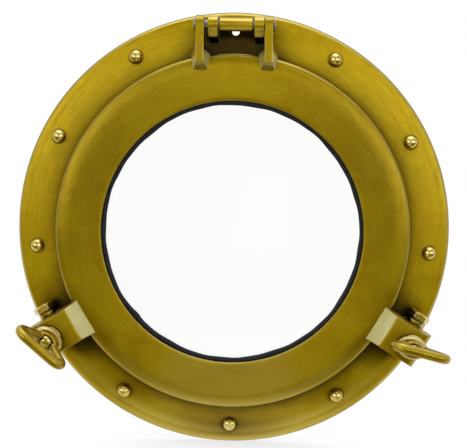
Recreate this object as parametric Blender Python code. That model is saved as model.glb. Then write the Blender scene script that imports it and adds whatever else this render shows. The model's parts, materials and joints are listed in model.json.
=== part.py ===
"""Opening porthole of cast brass: a flange ring, a glazed door hinged at its top and two dogs.

Frame: +Z up, the viewer's side faces -Y, +X to the right, in metres. The origin is the lowest point of the
ring of metal that rests on the wall, so the porthole's axis passes above it at RIM_SEAT_R. Outlines are
written in millimetres about that axis, and "depth" is the distance in front of the flange's back plane.
"""
from math import atan2, cos, pi, radians, sin

import bmesh
import bpy
from mathutils import Matrix, Vector

MM = 0.001
GAP = 0.3                   # play between pieces that touch on the real object

# Flange ring, radii and depths
RING_R = 152.5
RIM_SEAT_R = 150.0
FLANGE_FRONT = 7.8          # under the rivets; the front is a shallow dome
FLANGE_CROWN = 8.4
FLANGE_WALL = 4.2
RIM_FOOT_WIDTH = 5.0
INNER_FOOT_R = (99.5, 104.0)
BEAD_R = 111.5
BEAD_TOP = 8.6

# Dome-head rivets; the hole behind the hinge stays empty
RIVET_CIRCLE_R = 139.0
RIVET_ANGLES = (60.0, 27.5, -5.5, -57.0, -90.0, -123.0, 185.5, 152.5, 120.0)
EMPTY_HOLE_ANGLE = 90.0
RIVET_HOLE_R = 2.75
RIVET_HEAD_R = 5.1
RIVET_HEAD_HEIGHT = 4.0
RIVET_TAIL_R = 3.6

# Door ring
DOOR_R = 123.5
DOOR_BACK = 10.0
DOOR_FACE = 25.0
WINDOW_R = 91.0
FACE_FLAT_R = 112.0
GLASS_POCKET_R = 98.0
GLASS_POCKET_TOP = 22.2
RETAINER_LAND_R = 105.6
RETAINER_LAND = 13.8
SEAL_GROOVE_R = (107.7, 115.3)
SEAL_GROOVE_TOP = 14.0

# Glazing
GLASS_R = 94.6
GLASS_DEPTH = (15.3, 20.0)
GASKET_LIP_R = 88.0
GASKET_HEEL_R = 92.5
RETAINER_R = (91.8, RETAINER_LAND_R - GAP)
RETAINER_DEPTH = (11.0, RETAINER_LAND - GAP)
RETAINER_SCREWS = 6
RETAINER_SCREW_CIRCLE_R = 101.8

# Hinge: the pin runs along X above the door
PIN_Z = 142.6
PIN_DEPTH = 25.8
PIN_R = 3.0
PIN_HOLE_R = PIN_R + GAP
PIN_HEAD_R = 4.3
SPACER_R = 4.65
SPACER_X = (-10.6, 12.2)
RING_LUG_HALF = 3.3
RING_LUG_X = (-15.0, 16.6)          # middles of the ring's lugs
RING_LUG_END_R = 5.8
ARM_HALF = 2.75
ARM_X = (-23.8, 23.3)               # middles of the door's arms: the door sits against the right lug
ARM_END_R = 6.3
ARM_FRONT = PIN_DEPTH + ARM_END_R

# Dogs: swing bolts in the ring's ears, through the door's forked lugs
DOG_ANGLES = {"left": 211.0, "right": 329.0}
PIVOT_R = 142.0
PIVOT_DEPTH = 16.2
NUT_R = 146.0               # the bolt's shank stands further out than its pivot
EAR_U = (5.6, 12.8)
EAR_END_R = 6.6
PIVOT_BOLT_R = 2.9
PIVOT_COLLAR_R = 6.2
PIVOT_COLLAR_U = (13.1, 16.6)
PIVOT_HEAD_R = 8.0
PIVOT_HEAD_U = (17.3, 21.8)
LUG_FRONT = 32.3
LUG_BACK = 24.2
LUG_TIP_R = 155.0
LUG_TIP_ROUND = 6.0
LUG_HALF_WIDTH = 12.0
LUG_DRAFT = 1.3
SLOT_HALF_WIDTH = 4.9
BOLT_R = 4.1
BOLT_EYE_R = 6.5
BOLT_EYE_HALF = 5.3
THREAD_PITCH = 1.5
REST_TURNS_LOOSE = 1.75     # the nut must be this loose before its bolt can swing out over the lug's tip
WASHER_R = 8.5
WASHER_THICK = 1.5
NUT_BOSS_HEIGHT = 10.5
NUT_BAR_R = 3.25
NUT_BAR_HEIGHT = 32.5       # the handle's crossbar above the nut's base
NUT_HALF_WIDTH = 17.0
NUT_CORNER_R = 6.5
BOLT_END = 11.8             # above the nut's base
HANDLE_ANGLES = {"left": 139.5, "right": -15.0}     # the handles' directions in the front view
HANDLE_LEANS = {"left": (0.0, 2.0), "right": (4.5, 5.4)}    # degrees along and across each handle

WASHER_BACK = LUG_FRONT + REST_TURNS_LOOSE * THREAD_PITCH + 0.1
NUT_BASE = WASHER_BACK + WASHER_THICK + GAP

TO_ORIGIN = Vector((0, 0, RIM_SEAT_R))
RING_SEGMENTS = 80
HIDDEN_SEGMENTS = 60        # rings behind the door's face

BRASS = ((0.42, 0.30, 0.035), 0.34, 1.0)
POLISHED_BRASS = ((0.62, 0.48, 0.16), 0.16, 1.0)
STEEL = ((0.55, 0.53, 0.50), 0.25, 1.0)
RUBBER = ((0.012, 0.012, 0.014), 0.6, 0.0)
GLASS = ((0.85, 0.92, 0.92), 0.03, 0.0)


# ---------------------------------------------------------------- scene and materials

def clear_scene():
    for obj in list(bpy.data.objects):
        bpy.data.objects.remove(obj, do_unlink=True)


def material(name, finish):
    colour, roughness, metallic = finish
    made = bpy.data.materials.new(name)
    made.use_nodes = True
    shader = made.node_tree.nodes["Principled BSDF"]
    shader.inputs["Base Color"].default_value = (*colour, 1.0)
    shader.inputs["Roughness"].default_value = roughness
    shader.inputs["Metallic"].default_value = metallic
    return made


# ---------------------------------------------------------------- frames of reference

def frame(origin, x_axis, y_axis, z_axis):
    """The matrix that takes (x, y, z) to origin + x * x_axis + y * y_axis + z * z_axis."""
    columns = Matrix((x_axis, y_axis, z_axis)).transposed().to_4x4()
    return Matrix.Translation(origin) @ columns


def disc_frame(angle=0.0, r=0.0, depth=0.0):
    """Local x runs outward at an angle in the front view, z toward the viewer; right-handed."""
    a = radians(angle)
    out = Vector((cos(a), 0, sin(a)))
    front = Vector((0, -1, 0))
    return frame(out * r + front * depth, out, front.cross(out), front)


def side_frame():
    """Local x runs up, y toward the viewer and z along +X, for outlines seen from the side."""
    return frame((0, 0, 0), (0, 0, 1), (0, -1, 0), (1, 0, 0))


def dog_side_frame(angle):
    """Local x runs outward, y toward the viewer and z along the dog's pivot axis."""
    a = radians(angle)
    return frame((0, 0, 0), (cos(a), 0, sin(a)), (0, -1, 0), (-sin(a), 0, cos(a)))


def upward(side):
    """+1 where the dog's pivot axis (counter-clockwise in the front view) points up, else -1."""
    return 1 if side == "right" else -1


# ---------------------------------------------------------------- mesh tools

def new_object(name, bm, place=Matrix.Identity(4)):
    """An object in metres from a bmesh in millimetres, placed in the object's frame and closed outward."""
    bm.transform(Matrix.Scale(MM, 4) @ Matrix.Translation(TO_ORIGIN) @ place)
    bmesh.ops.recalc_face_normals(bm, faces=bm.faces)
    mesh = bpy.data.meshes.new(name)
    bm.to_mesh(mesh)
    bm.free()
    obj = bpy.data.objects.new(name, mesh)
    bpy.context.collection.objects.link(obj)
    return obj


def arc(centre, r, start, end, steps):
    """Points on a circle, from one angle to another in degrees."""
    angles = [radians(start + (end - start) * i / steps) for i in range(steps + 1)]
    return [(centre[0] + r * cos(a), centre[1] + r * sin(a)) for a in angles]


def turned(name, profile, segments, place=Matrix.Identity(4), squeeze=1.0):
    """A closed profile of (r, z) points spun about local z. A point at r = 0 lies on the axis."""
    bm = bmesh.new()
    rows = []
    for r, z in profile:
        if r == 0:
            rows.append([bm.verts.new((0, 0, z))] * segments)
            continue
        turns = [2 * pi * (i + 0.5) / segments for i in range(segments)]
        rows.append([bm.verts.new((r * cos(t), squeeze * r * sin(t), z)) for t in turns])
    for row, following in zip(rows, rows[1:] + rows[:1]):
        for i in range(segments):
            j = (i + 1) % segments
            corners = list(dict.fromkeys((row[i], row[j], following[j], following[i])))
            if len(corners) > 2:
                bm.faces.new(corners)
    return new_object(name, bm, place)


def prism(name, outline, low, high, place=Matrix.Identity(4), bevel=0.0):
    """An outline of (x, y) points extruded along local z between two heights, its end edges bevelled."""
    bm = bmesh.new()
    ring = [[bm.verts.new((x, y, z)) for x, y in outline] for z in (low, high)]
    ends = [bm.faces.new(ring[0]), bm.faces.new(ring[1])]
    count = len(outline)
    for i in range(count):
        j = (i + 1) % count
        bm.faces.new((ring[0][i], ring[0][j], ring[1][j], ring[1][i]))
    if bevel:
        rim = [edge for face in ends for edge in face.edges]
        bmesh.ops.bevel(bm, geom=rim, offset=bevel, segments=1, affect="EDGES", clamp_overlap=True)
    return new_object(name, bm, place)


def hull(name, points, place=Matrix.Identity(4)):
    """The convex solid around some points."""
    bm = bmesh.new()
    made = bmesh.ops.convex_hull(bm, input=[bm.verts.new(p) for p in points])
    unused = [v for v in made["geom_interior"] if isinstance(v, bmesh.types.BMVert)]
    bmesh.ops.delete(bm, geom=unused, context="VERTS")
    return new_object(name, bm, place)


def cylinder(name, r, low, high, segments, place=Matrix.Identity(4)):
    return turned(name, [(0, low), (r, low), (r, high), (0, high)], segments, place)


def bent_bar(name, path, minor, place, sides=10):
    """A round bar along a closed path of (x, z) points in the local plane y = 0."""
    bm = bmesh.new()
    rows = []
    for i, here in enumerate(path):
        before, after = Vector(path[i - 1]), Vector(path[(i + 1) % len(path)])
        along = (after - before).normalized()
        outward = Vector((along.y, -along.x))
        row = []
        for k in range(sides):
            b = 2 * pi * k / sides
            at = Vector(here) + outward * minor * cos(b)
            row.append(bm.verts.new((at.x, minor * sin(b), at.y)))
        rows.append(row)
    for i, row in enumerate(rows):
        following = rows[(i + 1) % len(rows)]
        for k in range(sides):
            m = (k + 1) % sides
            bm.faces.new((row[k], row[m], following[m], following[k]))
    return new_object(name, bm, place)


def combine(base, tools, operation):
    """Union or difference of an object with several others, which are used up."""
    for tool in tools:
        step = base.modifiers.new(operation, "BOOLEAN")
        step.operation = operation
        step.solver = "EXACT"
        step.object = tool
        evaluated = base.evaluated_get(bpy.context.evaluated_depsgraph_get())
        mesh = bpy.data.meshes.new_from_object(evaluated)
        base.modifiers.clear()
        base.data = mesh
        bpy.data.objects.remove(tool, do_unlink=True)
    return base


def finish(obj, look, origin=(0, 0, 0), angle=35.0):
    """Material, shading and an origin, in millimetres, for a finished piece."""
    obj.data.materials.clear()
    obj.data.materials.append(look)
    obj.data.shade_smooth()
    obj.data.set_sharp_from_angle(angle=radians(angle))
    place = Matrix.Translation((Vector(origin) + TO_ORIGIN) * MM)
    obj.data.transform(place.inverted())
    obj.matrix_world = place
    return obj


def pin_origin():
    return (0, -PIN_DEPTH, PIN_Z)


def pivot_origin(side):
    return disc_frame(DOG_ANGLES[side], PIVOT_R, PIVOT_DEPTH).translation


def slab(middle, half):
    return middle - half, middle + half


# ---------------------------------------------------------------- flange ring

def flange_profile():
    """(r, depth) points of the hollow-backed flange, with its sealing bead."""
    foot = RING_R - RIM_FOOT_WIDTH
    ceiling = FLANGE_FRONT - FLANGE_WALL
    inner, inner_foot = INNER_FOOT_R
    rim = arc((RING_R - 4.0, 2.4), 4.0, 0, 72, 4)
    front = [(RIVET_CIRCLE_R + 6.0, 6.65), (RIVET_CIRCLE_R + 1.0, 7.45), (RIVET_CIRCLE_R - 5.0, 8.05),
             (127.5, FLANGE_CROWN), (118.0, FLANGE_CROWN)]
    seat = [(BEAD_R + 2.0, 7.4), (BEAD_R + 1.0, BEAD_TOP), (BEAD_R - 1.0, BEAD_TOP), (BEAD_R - 2.0, 7.4),
            (inner, 7.0)]
    back = [(inner, 0), (inner_foot, 0), (inner_foot + 0.4, ceiling), (foot - 0.4, ceiling), (foot, 0),
            (RING_R, 0)]
    return rim + front + seat + back


def ear_outline():
    """One dog ear in the dog's side view: a round end about the pivot on a tapering root."""
    top = arc((PIVOT_R, PIVOT_DEPTH), EAR_END_R, 0, 180, 8)
    return top + [(PIVOT_R - EAR_END_R - 0.6, 5.0), (PIVOT_R + EAR_END_R, 5.0)]


def ring_lug_outline():
    """One hinge lug of the ring in the side view: x is up, y is depth."""
    end = arc((PIN_Z, PIN_DEPTH), RING_LUG_END_R, -10, 150, 9)
    return end + [(134.3, 27.4), (133.2, 12.0), (129.0, 5.5), (149.5, 5.0)]


def mounting_ring():
    ring = turned("mounting_ring", flange_profile(), RING_SEGMENTS, disc_frame())
    added = []
    for middle in RING_LUG_X:
        low, high = slab(middle, RING_LUG_HALF)
        added.append(prism("ring_lug", ring_lug_outline(), low, high, side_frame(), bevel=0.7))
    for side, angle in DOG_ANGLES.items():
        for sign in (-1, 1):
            low, high = sorted(sign * u for u in EAR_U)
            added.append(prism("ear", ear_outline(), low, high, dog_side_frame(angle), bevel=0.7))
    combine(ring, added, "UNION")
    cuts = [cylinder("pin_hole", PIN_HOLE_R, -25, 25, 24, side_frame() @ hole_shift(PIN_Z, PIN_DEPTH))]
    for angle in DOG_ANGLES.values():
        place = dog_side_frame(angle) @ hole_shift(PIVOT_R, PIVOT_DEPTH)
        cuts.append(cylinder("pivot_hole", PIVOT_BOLT_R + GAP, -20, 20, 20, place))
    for angle in (*RIVET_ANGLES, EMPTY_HOLE_ANGLE):
        cuts.append(cylinder("rivet_hole", RIVET_HOLE_R, -2, 12, 16, disc_frame(angle, RIVET_CIRCLE_R)))
    combine(ring, cuts, "DIFFERENCE")
    return ring


def hole_shift(x, y):
    return Matrix.Translation((x, y, 0))


# ---------------------------------------------------------------- rivets

def rivet_profile():
    """(r, depth): a domed head, a shank through the flange and a formed tail in the hollow behind it."""
    seat = FLANGE_FRONT + GAP
    radius = (RIVET_HEAD_R ** 2 + RIVET_HEAD_HEIGHT ** 2) / (2 * RIVET_HEAD_HEIGHT)
    centre = seat + RIVET_HEAD_HEIGHT - radius
    start = 90 - 0.5
    low = 180 / pi * atan2(seat + 0.5 - centre, RIVET_HEAD_R)
    dome = arc((0, centre), radius, start, low, 4)[1:]
    shank = RIVET_HOLE_R - GAP
    tail_top = FLANGE_FRONT - FLANGE_WALL - GAP
    lower = [(RIVET_HEAD_R, seat), (shank, seat), (shank, tail_top), (RIVET_TAIL_R, tail_top),
             (RIVET_TAIL_R - 0.4, 1.2), (0, 0.9)]
    return [(0, seat + RIVET_HEAD_HEIGHT)] + dome + lower


def rivets(look):
    for i, angle in enumerate(RIVET_ANGLES, 1):
        place = disc_frame(angle, RIVET_CIRCLE_R)
        finish(turned(f"rivet_{i:02d}", rivet_profile(), 14, place), look, place.translation)


# ---------------------------------------------------------------- door

def door_profile():
    """(r, depth) points of the door ring: crowned face, side wall, seal groove, glass pocket and lip."""
    crown = [(FACE_FLAT_R, DOOR_FACE), (115.5, DOOR_FACE - 0.2), (118.6, DOOR_FACE - 0.7),
             (121.0, DOOR_FACE - 1.5), (122.3, DOOR_FACE - 2.2), (123.0, DOOR_FACE - 3.0),
             (DOOR_R, DOOR_FACE - 4.4)]
    wall = [(DOOR_R, DOOR_BACK + 0.8), (DOOR_R - 0.8, DOOR_BACK)]
    groove = [(SEAL_GROOVE_R[1], DOOR_BACK), (SEAL_GROOVE_R[1], SEAL_GROOVE_TOP),
              (SEAL_GROOVE_R[0], SEAL_GROOVE_TOP), (SEAL_GROOVE_R[0], DOOR_BACK)]
    pocket = [(RETAINER_LAND_R, DOOR_BACK), (RETAINER_LAND_R, RETAINER_LAND),
              (GLASS_POCKET_R, RETAINER_LAND), (GLASS_POCKET_R, GLASS_POCKET_TOP)]
    lip = [(WINDOW_R, GLASS_POCKET_TOP), (WINDOW_R, DOOR_FACE - 1.0), (WINDOW_R + 0.35, DOOR_FACE - 0.3),
           (WINDOW_R + 1.1, DOOR_FACE)]
    return crown + wall + groove + pocket + lip


def arm_outline():
    """One hinge arm in the side view: x is up, y is depth."""
    end = arc((PIN_Z, PIN_DEPTH), ARM_END_R, 90, -90, 9)
    root = [(125.0, PIN_DEPTH - ARM_END_R), (121.5, 15.5), (117.0, 14.5), (112.0, 21.0)]
    return end + root + [(111.4, DOOR_FACE - 0.35), (117.2, ARM_FRONT)]


def arm_foot(middle):
    """The drafted foot under an arm: narrow in front, wide on the door's face and on its inner side."""
    inward = -1 if middle > 0 else 1
    top = ARM_HALF - 0.15
    points = []
    for side, face_flare, edge_flare in ((-inward, 1.4, 3.9), (inward, 2.9, 4.6)):
        face, edge = middle + side * (ARM_HALF + face_flare), middle + side * (ARM_HALF + edge_flare)
        points += [(height, ARM_FRONT - 0.2, middle + side * top) for height in (117.2, 126.5)]
        points += [(111.6, 24.4, face), (113.0, 20.0, face), (122.3, 20.6, edge), (122.3, 13.0, edge)]
        points += [(129.0, 20.5, middle + side * (ARM_HALF + 0.1))]
    return hull("arm_foot", points, side_frame())


def dog_lug_block(side):
    """A door lug before its slot is cut: drafted sides, a sloped inner face and a rounded tip."""
    place = dog_side_frame(DOG_ANGLES[side])
    tip = arc((LUG_TIP_R - LUG_TIP_ROUND, LUG_FRONT - LUG_TIP_ROUND), LUG_TIP_ROUND, 90, 0, 4)
    front = [(128.5, LUG_FRONT)] + tip
    back = [(LUG_TIP_R, LUG_BACK), (133.5, LUG_BACK), (122.0, 13.5), (116.0, 16.0),
            (116.0, DOOR_FACE - 1.6), (118.0, DOOR_FACE - 0.7)]
    bm = bmesh.new()
    rows = []
    for s in (-1, 1):
        row = []
        for x, y in front + back:
            spread = LUG_DRAFT * min(1.0, (LUG_FRONT - y) / (LUG_FRONT - LUG_BACK))
            row.append(bm.verts.new((x, y, s * (LUG_HALF_WIDTH + spread))))
        rows.append(row)
    ends = [bm.faces.new(row) for row in rows]
    count = len(rows[0])
    for i in range(count):
        j = (i + 1) % count
        bm.faces.new((rows[0][i], rows[0][j], rows[1][j], rows[1][i]))
    rim = [edge for face in ends for edge in face.edges]
    bmesh.ops.bevel(bm, geom=rim, offset=0.7, segments=1, affect="EDGES", clamp_overlap=True)
    return new_object("dog_lug", bm, place)


def dog_slot(side):
    """The open slot that takes the swing bolt, round at its inner end."""
    outline = [(162.0, -SLOT_HALF_WIDTH), (162.0, SLOT_HALF_WIDTH)]
    outline += arc((NUT_R, 0), SLOT_HALF_WIDTH, 90, 270, 8)
    return prism("slot", outline, 20.0, 36.0, disc_frame(DOG_ANGLES[side]))


def door_frame():
    door = turned("door_frame", door_profile(), RING_SEGMENTS, disc_frame())
    added = []
    for middle in ARM_X:
        low, high = slab(middle, ARM_HALF)
        added.append(arm_foot(middle))
        added.append(prism("arm", arm_outline(), low, high, side_frame(), bevel=0.6))
    added += [dog_lug_block(side) for side in DOG_ANGLES]
    combine(door, added, "UNION")
    cuts = [cylinder("pin_hole", PIN_HOLE_R, -32, 32, 20, side_frame() @ hole_shift(PIN_Z, PIN_DEPTH))]
    cuts += [dog_slot(side) for side in DOG_ANGLES]
    for place in retainer_screw_places():
        cuts.append(cylinder("screw_hole", 1.8, 11.0, 20.8, 12, place))
    combine(door, cuts, "DIFFERENCE")
    return door


# ---------------------------------------------------------------- glazing

def retainer_screw_places():
    """The screws' positions, set so that none lies behind an arm or a lug."""
    step = 360.0 / RETAINER_SCREWS
    return [disc_frame(step * i, RETAINER_SCREW_CIRCLE_R) for i in range(RETAINER_SCREWS)]


def gasket_profile():
    """(r, depth): a channel around the pane, with a longer lip in front."""
    outer = GLASS_POCKET_R - GAP
    low = RETAINER_LAND + 0.1
    high = GLASS_POCKET_TOP - GAP
    inner = GLASS_R + GAP
    pane_low, pane_high = GLASS_DEPTH[0] - GAP, GLASS_DEPTH[1] + GAP
    lip = [(WINDOW_R - GAP, high), (WINDOW_R - GAP, high + 0.9), (GASKET_LIP_R + 0.4, high + 0.7),
           (GASKET_LIP_R, pane_high)]
    channel = [(inner, pane_high), (inner, pane_low), (GASKET_HEEL_R, pane_low), (GASKET_HEEL_R, low)]
    return [(outer, low), (outer, high)] + lip + channel


def retaining_ring():
    low, high = RETAINER_DEPTH
    inner, outer = RETAINER_R
    profile = [(outer, low), (outer, high), (inner, high), (inner, low + 0.5), (inner + 0.5, low)]
    ring = turned("glass_retaining_ring", profile, HIDDEN_SEGMENTS, disc_frame())
    cone = [(0, 10.0), (4.2, 10.0), (3.7, low), (1.9, low + 1.9), (1.9, 15.0), (0, 15.0)]
    cuts = [turned("screw_seat", cone, 16, place) for place in retainer_screw_places()]
    return combine(ring, cuts, "DIFFERENCE")


def retaining_screw(name, place):
    low = RETAINER_DEPTH[0]
    profile = [(0, low + 0.1), (3.2, low + 0.1), (3.3, low + 0.3), (1.45, low + 2.1), (1.45, 19.4),
               (0.8, 20.3), (0, 20.3)]
    screw = turned(name, profile, 12, place)
    slot = prism("slot", [(-4, -0.45), (4, -0.45), (4, 0.45), (-4, 0.45)], low - 1, low + 0.9, place)
    return combine(screw, [slot], "DIFFERENCE")


def door_seal():
    """The rubber ring in the door's rear groove; its crest stands 0.3 mm off the flange's bead."""
    inner, outer = SEAL_GROOVE_R[0] + GAP, SEAL_GROOVE_R[1] - GAP
    crest = BEAD_TOP + GAP
    profile = [(outer - 0.5, crest), (outer, SEAL_GROOVE_TOP - GAP), (inner, SEAL_GROOVE_TOP - GAP),
               (inner + 0.5, crest)]
    return turned("door_seal", profile, HIDDEN_SEGMENTS, disc_frame())


def glazing(rubber, glass, brass, steel):
    pane_low, pane_high = GLASS_DEPTH
    pane = [(0, pane_low), (GLASS_R, pane_low), (GLASS_R, pane_high), (0, pane_high)]
    pieces = [
        (turned("glass_pane", pane, HIDDEN_SEGMENTS, disc_frame()), glass),
        (turned("glazing_gasket", gasket_profile(), HIDDEN_SEGMENTS, disc_frame()), rubber),
        (retaining_ring(), brass),
        (door_seal(), rubber),
    ]
    for i, place in enumerate(retainer_screw_places(), 1):
        pieces.append((retaining_screw(f"retaining_screw_{i}", place), steel))
    for piece, look in pieces:
        finish(piece, look, pin_origin())


# ---------------------------------------------------------------- hinge pin

def hinge_pieces(brass, steel):
    place = side_frame() @ hole_shift(PIN_Z, PIN_DEPTH)
    left, right = ARM_X[0] - ARM_HALF - GAP, ARM_X[1] + ARM_HALF + GAP
    pin = [(0, left - 1.6), (PIN_HEAD_R - 0.8, left - 1.6), (PIN_HEAD_R, left - 0.9), (PIN_HEAD_R, left),
           (PIN_R, left), (PIN_R, right + 1.1), (PIN_R - 0.5, right + 1.6), (0, right + 1.6)]
    finish(turned("hinge_pin", pin, 20, place), steel, pin_origin())
    bore = PIN_R + GAP
    collar = [(bore, right), (PIN_HEAD_R, right), (PIN_HEAD_R, right + 0.8), (PIN_HEAD_R - 0.3, right + 1.1),
              (bore, right + 1.1)]
    finish(turned("hinge_pin_collar", collar, 20, place), steel, pin_origin())
    low, high = SPACER_X
    tube = [(bore, low), (SPACER_R - 0.4, low), (SPACER_R, low + 0.4), (SPACER_R, high - 0.4),
            (SPACER_R - 0.4, high), (bore, high)]
    finish(turned("hinge_spacer", tube, 24, place), brass, pin_origin())


# ---------------------------------------------------------------- dogs

def swing_bolt(side):
    """An eye bolt: a barrel on the pivot, a neck leading outward and a shank toward the viewer."""
    angle = DOG_ANGLES[side]
    barrel_place = dog_side_frame(angle) @ hole_shift(PIVOT_R, PIVOT_DEPTH)
    half = BOLT_EYE_HALF
    eye = [(0, -half), (BOLT_EYE_R - 0.5, -half), (BOLT_EYE_R, -half + 0.5), (BOLT_EYE_R, half - 0.5),
           (BOLT_EYE_R - 0.5, half), (0, half)]
    bolt = turned(f"{side}_swing_bolt", eye, 24, barrel_place)
    offset = NUT_R - PIVOT_R
    foot = ((-5.4, 1.0), (6.0, 1.0), (offset + 3.4, 5.4))
    neck = [(x, y, s * 3.5) for s in (-1, 1) for x, y in foot]
    neck += [(offset + x, 9.6, s * 2.4) for s in (-1, 1) for x in (-2.6, 2.6)]
    end = NUT_BASE + BOLT_END
    low = PIVOT_DEPTH + 7.0
    shank = [(0, low), (BOLT_R, low), (BOLT_R, end - 1.2), (BOLT_R - 1.5, end), (0, end)]
    added = [hull("neck", neck, barrel_place), turned("shank", shank, 20, disc_frame(angle, NUT_R))]
    combine(bolt, added, "UNION")
    hole = cylinder("hole", PIVOT_BOLT_R + GAP, -half - 1, half + 1, 18, barrel_place)
    return combine(bolt, [hole], "DIFFERENCE")


def pivot_bolt(side):
    """A hexagon-head bolt through both ears, its head above the upper ear."""
    sign = upward(side)
    place = dog_side_frame(DOG_ANGLES[side]) @ hole_shift(PIVOT_R, PIVOT_DEPTH)
    low, high = PIVOT_HEAD_U
    tip = -EAR_U[1] + 0.8
    shank = [(0, tip), (PIVOT_BOLT_R - 0.6, tip), (PIVOT_BOLT_R, tip + 0.6), (PIVOT_BOLT_R, low + 1),
             (0, low + 1)]
    bolt = turned(f"{side}_pivot_bolt", [(r, sign * z) for r, z in shank], 20, place)
    corners = arc((0, 0), PIVOT_HEAD_R, 0, 300, 5)
    head = prism("head", corners, *sorted((sign * low, sign * high)), place, bevel=0.5)
    return combine(bolt, [head], "UNION")


def pivot_collar(side):
    """The loose collar between the upper ear and the pivot bolt's head."""
    sign = upward(side)
    place = dog_side_frame(DOG_ANGLES[side]) @ hole_shift(PIVOT_R, PIVOT_DEPTH)
    low, high = PIVOT_COLLAR_U
    bore = PIVOT_BOLT_R + GAP
    profile = [(bore, low), (PIVOT_COLLAR_R, low), (PIVOT_COLLAR_R, high - 1.0),
               (PIVOT_COLLAR_R - 1.0, high), (bore, high)]
    return turned(f"{side}_pivot_collar", [(r, sign * z) for r, z in profile], 20, place)


def washer(side):
    low, high = WASHER_BACK, WASHER_BACK + WASHER_THICK
    hole = BOLT_R + GAP
    profile = [(hole, low), (WASHER_R - 0.3, low), (WASHER_R, low + 0.3), (WASHER_R, high - 0.3),
               (WASHER_R - 0.3, high), (hole, high)]
    return turned(f"{side}_washer", profile, 24, disc_frame(DOG_ANGLES[side], NUT_R))


def handle_path():
    """The handle's centre line: a straight crossbar whose legs run together at the boss."""
    corner = (NUT_HALF_WIDTH - NUT_CORNER_R, NUT_BAR_HEIGHT - NUT_CORNER_R)
    right = arc(corner, NUT_CORNER_R, 90, -32, 6)
    bottom = arc((0, 10.4), 6.0, -32, -148, 6)
    left = arc((-corner[0], corner[1]), NUT_CORNER_R, 212, 90, 6)
    return right + bottom + left


def eye_nut(side):
    """A wide handle on an oval threaded boss; it stands along the bolt's axis but for a small lean."""
    at = disc_frame(DOG_ANGLES[side], NUT_R, NUT_BASE).translation
    place = Matrix.Translation(at) @ disc_frame(HANDLE_ANGLES[side])
    collar = [(0, 0), (10.3, 0), (10.8, 1.0), (10.6, 2.2), (9.2, 3.8), (0, 3.8)]
    nut = turned(f"{side}_eye_nut", collar, 24, place, squeeze=0.75)
    boss = [(0, 2.0), (9.6, 2.0), (8.8, 6.0), (8.2, NUT_BOSS_HEIGHT - 1.0), (7.4, NUT_BOSS_HEIGHT),
            (0, NUT_BOSS_HEIGHT)]
    along, across = (radians(a) for a in HANDLE_LEANS[side])
    lean = Matrix.Rotation(along, 4, "Y") @ Matrix.Rotation(-across, 4, "X")
    added = [turned("boss", boss, 24, place, squeeze=0.72),
             bent_bar("handle", handle_path(), NUT_BAR_R, place @ lean)]
    combine(nut, added, "UNION")
    bore = cylinder("bore", BOLT_R + GAP, -2, NUT_BOSS_HEIGHT + 4, 20, place)
    return combine(nut, [bore], "DIFFERENCE")


def dogs(brass, polished, steel):
    for side in DOG_ANGLES:
        pivot = pivot_origin(side)
        base = disc_frame(DOG_ANGLES[side], NUT_R, NUT_BASE).translation
        finish(swing_bolt(side), steel, pivot)
        finish(pivot_bolt(side), polished, pivot)
        finish(pivot_collar(side), brass, pivot)
        finish(washer(side), polished, base)
        finish(eye_nut(side), brass, base)


# ---------------------------------------------------------------- assembly

def build():
    clear_scene()
    brass = material("brass", BRASS)
    polished = material("polished_brass", POLISHED_BRASS)
    steel = material("steel", STEEL)
    rubber = material("rubber", RUBBER)
    glass = material("glass", GLASS)
    finish(mounting_ring(), brass)
    rivets(polished)
    finish(door_frame(), brass, pin_origin())
    glazing(rubber, glass, brass, steel)
    hinge_pieces(brass, steel)
    dogs(brass, polished, steel)


build()
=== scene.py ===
"""The looks of the opening porthole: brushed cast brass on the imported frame, in a white studio."""
import json
from math import acos, atan2, cos, exp, pi, radians, sin

import bmesh
import bpy
from mathutils import Matrix, Vector

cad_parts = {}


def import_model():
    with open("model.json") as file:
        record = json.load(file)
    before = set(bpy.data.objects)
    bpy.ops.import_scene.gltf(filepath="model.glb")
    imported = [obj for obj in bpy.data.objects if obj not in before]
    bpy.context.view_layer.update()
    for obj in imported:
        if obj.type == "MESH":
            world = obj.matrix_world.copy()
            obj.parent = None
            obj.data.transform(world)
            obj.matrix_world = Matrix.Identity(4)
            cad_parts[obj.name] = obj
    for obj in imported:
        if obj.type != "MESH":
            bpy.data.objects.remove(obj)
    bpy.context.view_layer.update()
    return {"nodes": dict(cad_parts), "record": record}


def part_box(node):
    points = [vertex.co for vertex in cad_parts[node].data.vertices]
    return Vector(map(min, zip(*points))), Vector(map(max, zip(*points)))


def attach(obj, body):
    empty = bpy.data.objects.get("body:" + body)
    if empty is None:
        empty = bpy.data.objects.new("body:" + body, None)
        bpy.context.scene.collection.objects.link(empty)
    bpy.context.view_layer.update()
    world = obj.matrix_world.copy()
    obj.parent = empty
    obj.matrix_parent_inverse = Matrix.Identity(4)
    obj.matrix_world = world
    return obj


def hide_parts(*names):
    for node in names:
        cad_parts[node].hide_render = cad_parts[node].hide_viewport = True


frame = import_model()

MM = 0.001
SIDES = ("left", "right")

# ---------------------------------------------------------------- where things are, in millimetres


def corners(node):
    low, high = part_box(node)
    return Vector(low) / MM, Vector(high) / MM


def middle(node):
    low, high = corners(node)
    return (low + high) / 2


def joint(name):
    return next(j for j in frame["record"]["behaviour"]["joints"] if j["name"] == name)


RING_LOW, RING_HIGH = corners("mounting_ring")
CENTRE = Vector((middle("mounting_ring").x, RING_HIGH.y, middle("mounting_ring").z))
RING_R = (RING_HIGH.x - RING_LOW.x) / 2
DOOR_R = CENTRE.z - corners("door_frame")[0].z
PIN = middle("hinge_pin") - CENTRE
PIN_Z, PIN_DEPTH = PIN.z, -PIN.y


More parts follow.
